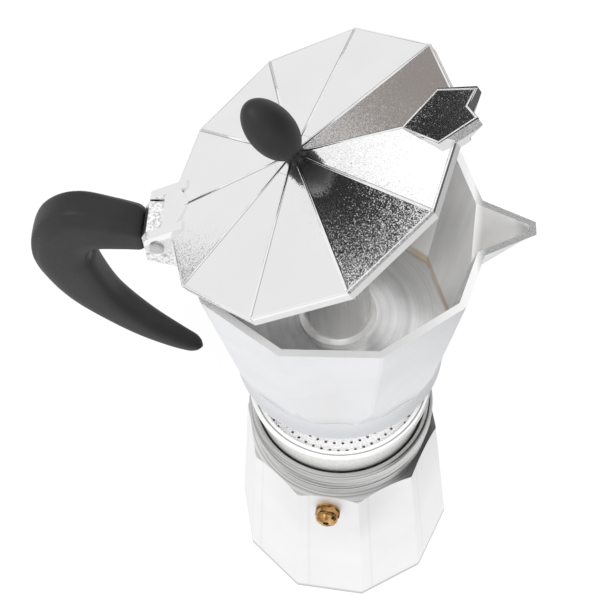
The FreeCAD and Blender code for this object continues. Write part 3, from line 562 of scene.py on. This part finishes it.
def make_piece(name, grids, finish, body, smooth=True):
    """One mesh from several grids of shape (rows, columns, 3); each end is closed with a fan
    about the mean of its ring."""
    points, faces, count = [], [], 0
    for grid in grids:
        rows, columns = grid.shape[:2]
        points.append(np.vstack([grid.reshape(-1, 3), grid[0].mean(axis=0), grid[-1].mean(axis=0)]))
        ring = count + np.arange(columns)
        centre = count + rows * columns
        faces += grid_faces(rows, columns, count).tolist()
        faces += end_fan(ring[::-1], centre).tolist()
        faces += end_fan(ring + (rows - 1) * columns, centre + 1).tolist()
        count = centre + 2
    mesh = bpy.data.meshes.new(name)
    mesh.from_pydata(np.vstack(points).tolist(), [], faces)
    mesh.polygons.foreach_set("use_smooth", np.full(len(mesh.polygons), smooth))
    mesh.materials.append(finish)
    mesh.update()
    piece = bpy.data.objects.new(name, mesh)
    bpy.context.scene.collection.objects.link(piece)
    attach(piece, body)
    print(name, len(faces), "faces")
    return piece


# %% [markdown]
# ## The lid's beads
# Pressing leaves a thin rounded bead along each crease, round the rim and round the cover
# over the spout. A bevel would need the lid's sharp edges picked out; a tube along a path needs
# only the path. The paths lie in the lid's own frame, which starts at the hinge pin and is swung
# open. A bead sits a little below its crease, so only its back shows.

# %% Paths and tubes on the lid


def lid_to_world(points):
    """Turn lid points about Y by the open angle, then move them to the pin."""
    c, s = math.cos(LID_OPEN), math.sin(LID_OPEN)
    x, y, z = np.moveaxis(np.asarray(points), -1, 0)
    return np.stack([x * c - z * s, y, x * s + z * c], axis=-1) + PIN


def tube(path, radius, sides=10, closed=False):
    """Rings of points round a path: at each point two directions square to the mean of the
    neighbouring steps carry radius times cosine and sine of the angle round the tube. At a sharp
    corner the ring is stretched sideways, up to two and a half times, so the tube keeps its width."""
    path = np.asarray(path, dtype=float)
    if closed:
        path = np.vstack([path, path[:1]])
    step = np.diff(path, axis=0)
    step /= np.linalg.norm(step, axis=1, keepdims=True)
    before = np.vstack([step[-1:] if closed else step[:1], step])
    after = np.vstack([step, step[:1] if closed else step[-1:]])
    mean = before + after
    mean /= np.linalg.norm(mean, axis=1, keepdims=True)
    stretch = 1.0 / np.maximum(np.sum(mean * after, axis=1), 0.4)
    side = np.cross(mean, [0.0, 0.0, 1.0])
    side /= np.linalg.norm(side, axis=1, keepdims=True)
    high = np.cross(side, mean)
    angle = np.linspace(0.0, 2 * np.pi, sides, endpoint=False)
    return (path[:, None] + radius * (np.cos(angle)[None, :, None] * (side * stretch[:, None])[:, None]
                                      + np.sin(angle)[None, :, None] * high[:, None]))


def spoke(angle, inner, outer, sink):
    """A straight path down one crease: height falls evenly from the crown to the shoulder."""
    reach = np.array([inner, outer])
    height = CROWN - LID_SLOPE * (reach - CROWN_RADIUS) - sink
    return np.stack([LID_CENTRE + reach * math.cos(angle), reach * math.sin(angle), height], axis=-1)


CORNERS = np.radians(np.arange(10) * 36.0)
print(len(CORNERS), "creases, falling", round(math.degrees(math.atan(LID_SLOPE)), 1), "degrees")

# %% Lid beads
BEAD = 0.0005
BEAD_START, BEAD_SINK, RIM_SINK = 0.0034, 0.00022, 0.00035
COVER_START, TAB_START = 0.0334, 0.0416
COVER_RISE = 0.002
crease_ends = np.full(10, LID_RADIUS - 0.0009)
crease_ends[0] = COVER_START
crease_ends[5] = TAB_START
beads = [lid_to_world(tube(spoke(angle, BEAD_START, end, BEAD_SINK), BEAD * 0.9))
         for angle, end in zip(CORNERS, crease_ends)]

rim_radius = LID_RADIUS - BEAD / math.cos(math.pi / 10)
rim_path = np.stack([LID_CENTRE + rim_radius * np.cos(CORNERS), rim_radius * np.sin(CORNERS),
                     np.full(10, SHOULDER - RIM_SINK)], axis=-1)
beads.append(lid_to_world(tube(rim_path, BEAD, closed=True)))

COVER_MM = np.array([[33.4, 0], [44.4, -9.4], [55.7, -5.1], [53.0, 0], [55.7, 5.1], [44.4, 9.4]])
cover_height = np.full(len(COVER_MM), SHOULDER + COVER_RISE)
cover_path = np.column_stack([COVER_MM / 1000.0 + [LID_CENTRE, 0.0], cover_height])
beads.append(lid_to_world(tube(cover_path, BEAD, closed=True)))
bead_finish = satin_metal("bead_bright", grey(0.93), grey(0.97), rough=(0.1, 0.2))
make_piece("lid_beads", beads, bead_finish, "lid")

# %% [markdown]
# ## The lid's point
# The ten creases run on under the knob's foot, where the solid ends in a flat round. A short
# ten-sided cone, shaded flat, carries the facets up to the foot.

# %% Lid point
POINT_RADII = np.array([0.00715, 0.002])[:, None]
point_height = np.repeat(CROWN + LID_SLOPE * (CROWN_RADIUS - POINT_RADII), 10, axis=1)
point = np.stack([LID_CENTRE + POINT_RADII * np.cos(CORNERS), POINT_RADII * np.sin(CORNERS),
                  point_height], axis=-1)
make_piece("lid_point", [lid_to_world(point)], lid_finish, "lid", smooth=False)

# %% [markdown]
# ## The knob
# The knob is an egg on a short round foot. A sphere pulled into shape would do, but an outline
# turned round the axis is exact: half an ellipse whose radius changes a little with height; below,
# the foot's own radius takes over.

# %% Knob
KNOB_RADIUS, KNOB_HEIGHT, FOOT_RADIUS = 0.007, 0.0254, 0.0034
EGG_MIDDLE, EGG_HALF, EGG_SWELL, FOOT_TOP = 0.51, 0.48, 0.04, 0.4
ROUND = 40
up_knob = np.concatenate([[0.0], EGG_MIDDLE - EGG_HALF * np.cos(np.linspace(0.0, np.pi - 0.03, 48))])
from_middle = np.clip((up_knob - EGG_MIDDLE) / EGG_HALF, -1.0, 1.0)
outline = KNOB_RADIUS * np.sqrt(1.0 - from_middle ** 2) * (1.0 - EGG_SWELL * from_middle)
outline = np.where(up_knob < FOOT_TOP, np.maximum(outline, FOOT_RADIUS), outline)[:, None]
angle = np.linspace(0.0, 2 * np.pi, ROUND, endpoint=False)
egg = np.stack([LID_CENTRE + outline * np.cos(angle), outline * np.sin(angle),
                CROWN + KNOB_HEIGHT * np.repeat(up_knob[:, None], ROUND, axis=1)], axis=-1)
knob = make_piece("knob_egg", [lid_to_world(egg)], black_finish, "lid")
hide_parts("knob")

# %% [markdown]
# ## The handle
# The handle is a horn: it leaves the hinge thick, bends down and tapers to a blunt tip. Boxes and
# bevels would show their joins, so its sections lie across a curved spine, a smooth curve through
# their sizes gives many more, and each is a rounded box. A low rib runs along its back from the
# hinge over the bend: beside the rib the section is cut down by a step.

# %% Sections of the horn
PIN_ABOVE_RIM_MM = 0.4
RIM_MM = PIN[2] * 1000.0 - PIN_ABOVE_RIM_MM
# Each row, in mm and degrees: reach from the axis, drop below the rim, lean, thickness, width.
SECTIONS = np.array([
    (61.5, 2.2, 90.0, 12.0, 13.0), (69.5, 0.2, 95.0, 16.2, 13.4), (79.8, -1.2, 104.0, 20.4, 14.4),
    (86.8, 3.2, 132.0, 20.8, 14.8), (90.3, 12.0, 159.0, 19.9, 14.8), (89.9, 21.0, 186.0, 19.6, 14.6),
    (86.2, 34.6, 198.0, 17.0, 14.0), (80.6, 46.4, 210.0, 13.6, 12.8), (70.6, 61.0, 220.0, 10.0, 11.2),
    (60.0, 72.4, 228.0, 7.0, 8.8), (51.4, 79.6, 233.0, 4.6, 5.8)])
HORN_ROWS, HORN_COLUMNS = 90, 64


def smooth_rows(rows, count):
    """Points on a smooth curve through the rows: each span is a cubic whose slope at a row is
    half the step between its two neighbours."""
    slope = np.gradient(rows, axis=0)
    where = np.linspace(0.0, len(rows) - 1.0, count)
    span = np.minimum(where.astype(int), len(rows) - 2)
    t = (where - span)[:, None]
    first, last = rows[span], rows[span + 1]
    return (first * (1 + 2 * t) * (1 - t) ** 2 + slope[span] * t * (1 - t) ** 2
            + last * t ** 2 * (3 - 2 * t) + slope[span + 1] * t ** 2 * (t - 1))


def rounded_box(count, power):
    """Unit outlines, one for each power: x and y are cosine and sine raised to the power, keeping
    their signs, so a small power gives a square section and a power of one a round one."""
    angle = np.linspace(0.0, 2 * np.pi, count, endpoint=False)
    c, s = np.cos(angle), np.sin(angle)
    return np.sign(c) * np.abs(c) ** power[:, None], np.sign(s) * np.abs(s) ** power[:, None]


reach, drop, lean, thick, wide = smooth_rows(SECTIONS, HORN_ROWS).T[:, :, None]
lean = np.radians(lean)
out, side = rounded_box(HORN_COLUMNS, np.linspace(0.46, 0.8, HORN_ROWS))
print("horn reaches", round(float(reach.max()), 1), "mm, drops", round(float(drop.max()), 1), "mm")

# %% Handle
RIB_STEP_MM, RIB_END, RIB_FADE = 0.9, 50.0, 14.0
TIP_ROWS = 5
row = np.arange(HORN_ROWS)[:, None]
taper = np.ones((HORN_ROWS, 1))
taper[-TIP_ROWS:, 0] = np.sqrt(1.0 - np.linspace(0.0, 0.97, TIP_ROWS) ** 2)
taper[:3, 0] = (0.9, 0.97, 1.0)
beside_rib = np.clip((out - 0.4) / 0.4, 0.0, 1.0) * np.clip((np.abs(side) - 0.6) / 0.14, 0.0, 1.0)
rib_step = RIB_STEP_MM * np.clip((RIB_END - row) / RIB_FADE, 0.0, 1.0)
outwards = thick * taper / 2 * out - rib_step * beside_rib
horn = np.stack([-reach + np.cos(lean) * outwards, wide * taper / 2 * side,
                 RIM_MM - drop + np.sin(lean) * outwards], axis=-1) / 1000.0
handle = make_piece("handle_horn", [horn], black_finish, "pot")
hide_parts("handle")

# %% [markdown]
# ## Floor
# The picture is high-key: white all round. A floor lit up to white would flood the metal with
# light, so the floor shows its white only to the camera and to mirrors, and keeps a trace of
# shadow. At the right, mirrors see a dark patch of it, which draws the boiler's shoulder.

# %% Floor
FLOOR_DROP = 0.0004
SHOWN_WHITE = 0.9
bpy.ops.mesh.primitive_plane_add(size=6.0, location=(0, 0, -FLOOR_DROP))
floor = bpy.context.object
floor.name = "floor"
floor_paint, tree, shader = new_finish("floor_paint", Base_Color=(0.9, 0.9, 0.9, 1.0), Roughness=0.8)
ray = tree.nodes.new("ShaderNodeLightPath").outputs
across, along, _ = parts_of(tree, coordinate(tree, "Object"))
patch = times(tree, above(tree, across, 0.13, 0.05), above(tree, along, -0.5, 0.2),
              below(tree, along, 0.8, 0.2), ray["Is Glossy Ray"])
seen = most(tree, ray["Is Camera Ray"], ray["Is Glossy Ray"], ray["Is Transmission Ray"])
glow = add(tree, "ShaderNodeEmission", {"Color": tint(tree, patch, grey(1.0), grey(0.03))}, Strength=1.0)
shown = add(tree, "ShaderNodeMixShader", {0: times(tree, seen, SHOWN_WHITE), 1: shader.outputs[0],
                                          2: glow.outputs[0]})
tree.links.new(shown.outputs[0], tree.nodes["Material Output"].inputs["Surface"])
floor.data.materials.append(floor_paint)
print("floor", floor.dimensions[0], "m wide")

# %% [markdown]
# ## World
# Bright metal shows only what stands round it. A studio hangs cards, black ones to draw its shape
# and a bright one to lift a facet; planes could stand in for them, but they would show in other
# views, so here each card is a window of bearing and rise in the world, which the camera itself
# doesn't see. Those behind give the lid's facets and its cover their tones, the one at the right
# the boiler's shoulder.

# %% World
SKY_LIGHT = 0.9
# Each card, in degrees: its left, right, low and top edges as fades, then its colour and strength.
CARDS = {
    "bright": ((126.0, 128.0), (136.5, 138.0), (37.5, 39.0), (46.0, 48.0), grey(1.35), 1.0),
    "warm": ((108.0, 112.0), (125.0, 130.0), (25.0, 28.0), (35.0, 37.0), (0.35, 0.315, 0.295), 1.0),
    "dark": ((138.5, 140.0), (152.5, 154.0), (32.0, 34.0), (41.8, 43.3), grey(0.03), 1.0),
    "cover": ((128.0, 130.0), (139.0, 142.0), (22.0, 24.0), (31.0, 33.0), grey(0.03), 1.0),
    "edge": ((150.4, 151.6), (160.0, 162.0), (1.0, 3.0), (9.0, 10.5), grey(0.03), 0.8),
    "right": ((-52.0, -36.0), (34.0, 42.0), (-4.0, -2.0), (26.0, 36.0), grey(0.03), 1.0)}
world = bpy.data.worlds.new("studio")
bpy.context.scene.world = world
world.use_nodes = True
tree = world.node_tree
background = tree.nodes["Background"]
from_camera = tree.nodes.new("ShaderNodeLightPath").outputs["Is Camera Ray"]
east, north, high = parts_of(tree, coordinate(tree, "Generated"))
bearing = times(tree, math_node(tree, "ARCTAN2", north, east), 180.0 / math.pi)
rise = times(tree, math_node(tree, "ARCSINE", high), 180.0 / math.pi)
mirrored = math_node(tree, "SUBTRACT", 1.0, from_camera)
sky = grey(1.0)
for left, right_side, low, top, colour, strength in CARDS.values():
    card = times(tree, ramp(tree, bearing, *left), ramp(tree, bearing, *right_side[::-1]),
                 ramp(tree, rise, *low), ramp(tree, rise, *top[::-1]), mirrored, strength)
    sky = tint(tree, card, sky, colour)
wire(tree, background, Color=sky, Strength=blend(tree, from_camera, SKY_LIGHT, 1.0))
print("cards", *CARDS)

# %% [markdown]
# ## Lamps
# One soft lamp from above the camera models the shapes. Its mirror image would burn a hot spot
# into the collar, so it is left out of reflections. Dull black plastic and small brass need a
# highlight to look round, and a second, weak lamp gives it to those pieces alone.

# %% Lamps


def soft_box(name, spot, target, across, power):
    """A square area lamp at spot, facing target."""
    light = bpy.data.lights.new(name, "AREA")
    light.size = across
    light.energy = power
    lamp = bpy.data.objects.new(name, light)
    bpy.context.scene.collection.objects.link(lamp)
    lamp.location = spot
    aim = np.array(target) - np.array(spot)
    length = np.linalg.norm(aim)
    lamp.rotation_euler = (math.acos(-aim[2] / length), 0.0, math.atan2(aim[1], aim[0]) - math.pi / 2)
    print(name, power, "W")
    return lamp


key = soft_box("key", (0.02, -0.42, 1.05), (0.0, -0.02, 0.11), across=0.35, power=10.5)
key.visible_glossy = False
sheen = soft_box("sheen", (-0.35, -0.25, 0.75), (-0.02, 0.0, 0.2), across=0.3, power=0.8)
dull = bpy.data.collections.new("dull_pieces")
for piece in (knob, handle, frame["nodes"]["valve_body"], frame["nodes"]["valve_cap"]):
    dull.objects.link(piece)
sheen.light_linking.receiver_collection = dull
bpy.context.scene.view_settings.view_transform = "Standard"
